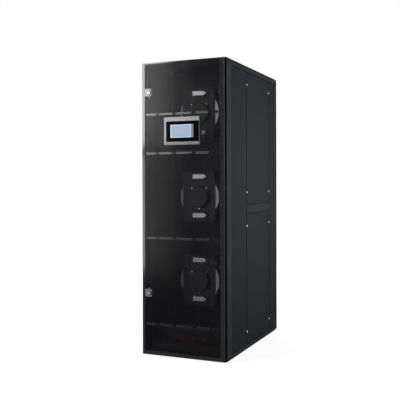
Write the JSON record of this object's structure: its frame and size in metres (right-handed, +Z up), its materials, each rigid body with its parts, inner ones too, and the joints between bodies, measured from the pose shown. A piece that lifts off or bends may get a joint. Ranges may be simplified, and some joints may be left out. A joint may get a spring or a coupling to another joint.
{
  "type": "in-row cooling unit",
  "caption": "Tall free-standing cooling cabinet with perforated doors, a display, stacked radial fans, a water coil, casters and levelling feet.",
  "frame": {"origin": "centre of the footprint on the floor, under the levelling feet", "axes": "+Z up, front door towards -Y, the front door's hinges towards +X"},
  "size_m": [0.6, 1.2, 2],
  "materials": {
    "black_powder_coat": "fine texture powder coat",
    "door_paint": "satin powder coat",
    "bar_paint": "satin",
    "galvanised": "zinc plated",
    "bright_steel": "plated",
    "hinge_steel": "blackened",
    "motor_black": "cast and painted",
    "handle_grey": "satin anodised",
    "impeller_grey": "formed sheet",
    "red_lens": "moulded",
    "fin_aluminium": "raw",
    "copper_tube": "bare copper",
    "valve_brass": "cast",
    "pale_plastic": "moulded",
    "black_plastic": "moulded",
    "filter_media": "pleated",
    "gasket_foam": "closed cell",
    "silver_bezel": "brushed",
    "wheel_rubber": "moulded tread"
  },
  "bodies": {
    "cabinet": {"cabinet_frame": "black_powder_coat", "base_plate": "galvanised", "top_cover": "black_powder_coat", "side_front_panels": "black_powder_coat", "side_upper_panels": "black_powder_coat", "side_lower_panels": "black_powder_coat", "side_rear_panels": "black_powder_coat", "side_panel_screws": "bright_steel", "fan_bulkhead": "galvanised", "fan_brackets": "galvanised", "fan_motors": "motor_black", "fan_handles": "handle_grey", "inlet_rings": "impeller_grey", "electrical_box": "black_powder_coat", "electrical_cover": "black_powder_coat", "phase_lamps": "red_lens", "coil_fins": "fin_aluminium", "coil_end_plates": "galvanised", "coil_copper": "copper_tube", "drain_pan": "galvanised", "condensate_pump": "black_plastic", "water_pipes": "copper_tube", "control_valve": "valve_brass", "valve_actuator": "pale_plastic", "filter_frame": "galvanised", "filters": "filter_media", "door_gaskets": "gasket_foam", "hinge_leaves": "hinge_steel", "lock_keepers": "galvanised", "caster_plates": "galvanised", "foot_brackets": "galvanised"},
    "front_door": {"front_door_frame": "door_paint", "front_door_mesh": "door_paint", "front_door_stiffeners": "bar_paint", "front_lock_plates": "bright_steel", "display_bezel": "silver_bezel", "display_panel": "black_plastic"},
    "rear_door": {"rear_door_frame": "door_paint", "rear_door_mesh": "door_paint", "rear_door_stiffeners": "bar_paint", "rear_lock_plates": "bright_steel"},
    "front_lock_upper": {"front_lock_upper": "bright_steel"},
    "front_lock_lower": {"front_lock_lower": "bright_steel"},
    "rear_lock_upper": {"rear_lock_upper": "bright_steel"},
    "rear_lock_lower": {"rear_lock_lower": "bright_steel"},
    "fan_upper": {"impeller_upper": "impeller_grey"},
    "fan_middle": {"impeller_middle": "impeller_grey"},
    "fan_lower": {"impeller_lower": "impeller_grey"},
    "caster_fl": {"caster_fork_fl": "galvanised"},
    "wheel_fl": {"caster_wheel_fl": "wheel_rubber"},
    "foot_fl": {"foot_fl": "galvanised"},
    "caster_fr": {"caster_fork_fr": "galvanised"},
    "wheel_fr": {"caster_wheel_fr": "wheel_rubber"},
    "foot_fr": {"foot_fr": "galvanised"},
    "caster_rl": {"caster_fork_rl": "galvanised"},
    "wheel_rl": {"caster_wheel_rl": "wheel_rubber"},
    "foot_rl": {"foot_rl": "galvanised"},
    "caster_rr": {"caster_fork_rr": "galvanised"},
    "wheel_rr": {"caster_wheel_rr": "wheel_rubber"},
    "foot_rr": {"foot_rr": "galvanised"}
  },
  "joints": [
    {"name": "front_door_hinge", "type": "hinge", "parent": "cabinet", "child": "front_door", "pos_m": [0.289, -0.582, 1], "axis": [0, 0, 1], "range_deg": [0, 110]},
    {"name": "rear_door_hinge", "type": "hinge", "parent": "cabinet", "child": "rear_door", "pos_m": [-0.289, 0.582, 1], "axis": [0, 0, 1], "range_deg": [0, 110]},
    {"name": "front_lock_upper_turn", "type": "hinge", "parent": "front_door", "child": "front_lock_upper", "pos_m": [-0.25, -0.59, 1.794], "axis": [0, -1, 0], "range_deg": [0, 90]},
    {"name": "rear_lock_upper_turn", "type": "hinge", "parent": "rear_door", "child": "rear_lock_upper", "pos_m": [0.25, 0.59, 1.794], "axis": [0, 1, 0], "range_deg": [0, 90]},
    {"name": "front_lock_lower_turn", "type": "hinge", "parent": "front_door", "child": "front_lock_lower", "pos_m": [-0.25, -0.59, 0.43], "axis": [0, -1, 0], "range_deg": [0, 90]},
    {"name": "rear_lock_lower_turn", "type": "hinge", "parent": "rear_door", "child": "rear_lock_lower", "pos_m": [0.25, 0.59, 0.43], "axis": [0, 1, 0], "range_deg": [0, 90]},
    {"name": "fan_upper_spin", "type": "hinge", "parent": "cabinet", "child": "fan_upper", "pos_m": [0, -0.25, 1.671], "axis": [0, 1, 0], "continuous": true},
    {"name": "fan_middle_spin", "type": "hinge", "parent": "cabinet", "child": "fan_middle", "pos_m": [0, -0.25, 1.0815], "axis": [0, 1, 0], "continuous": true},
    {"name": "fan_lower_spin", "type": "hinge", "parent": "cabinet", "child": "fan_lower", "pos_m": [0, -0.25, 0.492], "axis": [0, 1, 0], "continuous": true},
    {"name": "caster_fl_swivel", "type": "hinge", "parent": "cabinet", "child": "caster_fl", "pos_m": [-0.205, -0.42, 0.085], "axis": [0, 0, 1], "continuous": true},
    {"name": "wheel_fl_roll", "type": "hinge", "parent": "caster_fl", "child": "wheel_fl", "pos_m": [-0.205, -0.398, 0.032], "axis": [1, 0, 0], "continuous": true},
    {"name": "foot_fl_adjust", "type": "slide", "parent": "cabinet", "child": "foot_fl", "axis": [0, 0, 1], "range_m": [-0.025, 0.006]},
    {"name": "caster_fr_swivel", "type": "hinge", "parent": "cabinet", "child": "caster_fr", "pos_m": [0.205, -0.42, 0.085], "axis": [0, 0, 1], "continuous": true},
    {"name": "wheel_fr_roll", "type": "hinge", "parent": "caster_fr", "child": "wheel_fr", "pos_m": [0.205, -0.398, 0.032], "axis": [1, 0, 0], "continuous": true},
    {"name": "foot_fr_adjust", "type": "slide", "parent": "cabinet", "child": "foot_fr", "axis": [0, 0, 1], "range_m": [-0.025, 0.006]},
    {"name": "caster_rl_swivel", "type": "hinge", "parent": "cabinet", "child": "caster_rl", "pos_m": [-0.205, 0.42, 0.085], "axis": [0, 0, 1], "continuous": true},
    {"name": "wheel_rl_roll", "type": "hinge", "parent": "caster_rl", "child": "wheel_rl", "pos_m": [-0.205, 0.442, 0.032], "axis": [1, 0, 0], "continuous": true},
    {"name": "foot_rl_adjust", "type": "slide", "parent": "cabinet", "child": "foot_rl", "axis": [0, 0, 1], "range_m": [-0.025, 0.006]},
    {"name": "caster_rr_swivel", "type": "hinge", "parent": "cabinet", "child": "caster_rr", "pos_m": [0.205, 0.42, 0.085], "axis": [0, 0, 1], "continuous": true},
    {"name": "wheel_rr_roll", "type": "hinge", "parent": "caster_rr", "child": "wheel_rr", "pos_m": [0.205, 0.442, 0.032], "axis": [1, 0, 0], "continuous": true},
    {"name": "foot_rr_adjust", "type": "slide", "parent": "cabinet", "child": "foot_rr", "axis": [0, 0, 1], "range_m": [-0.025, 0.006]}
  ]
}
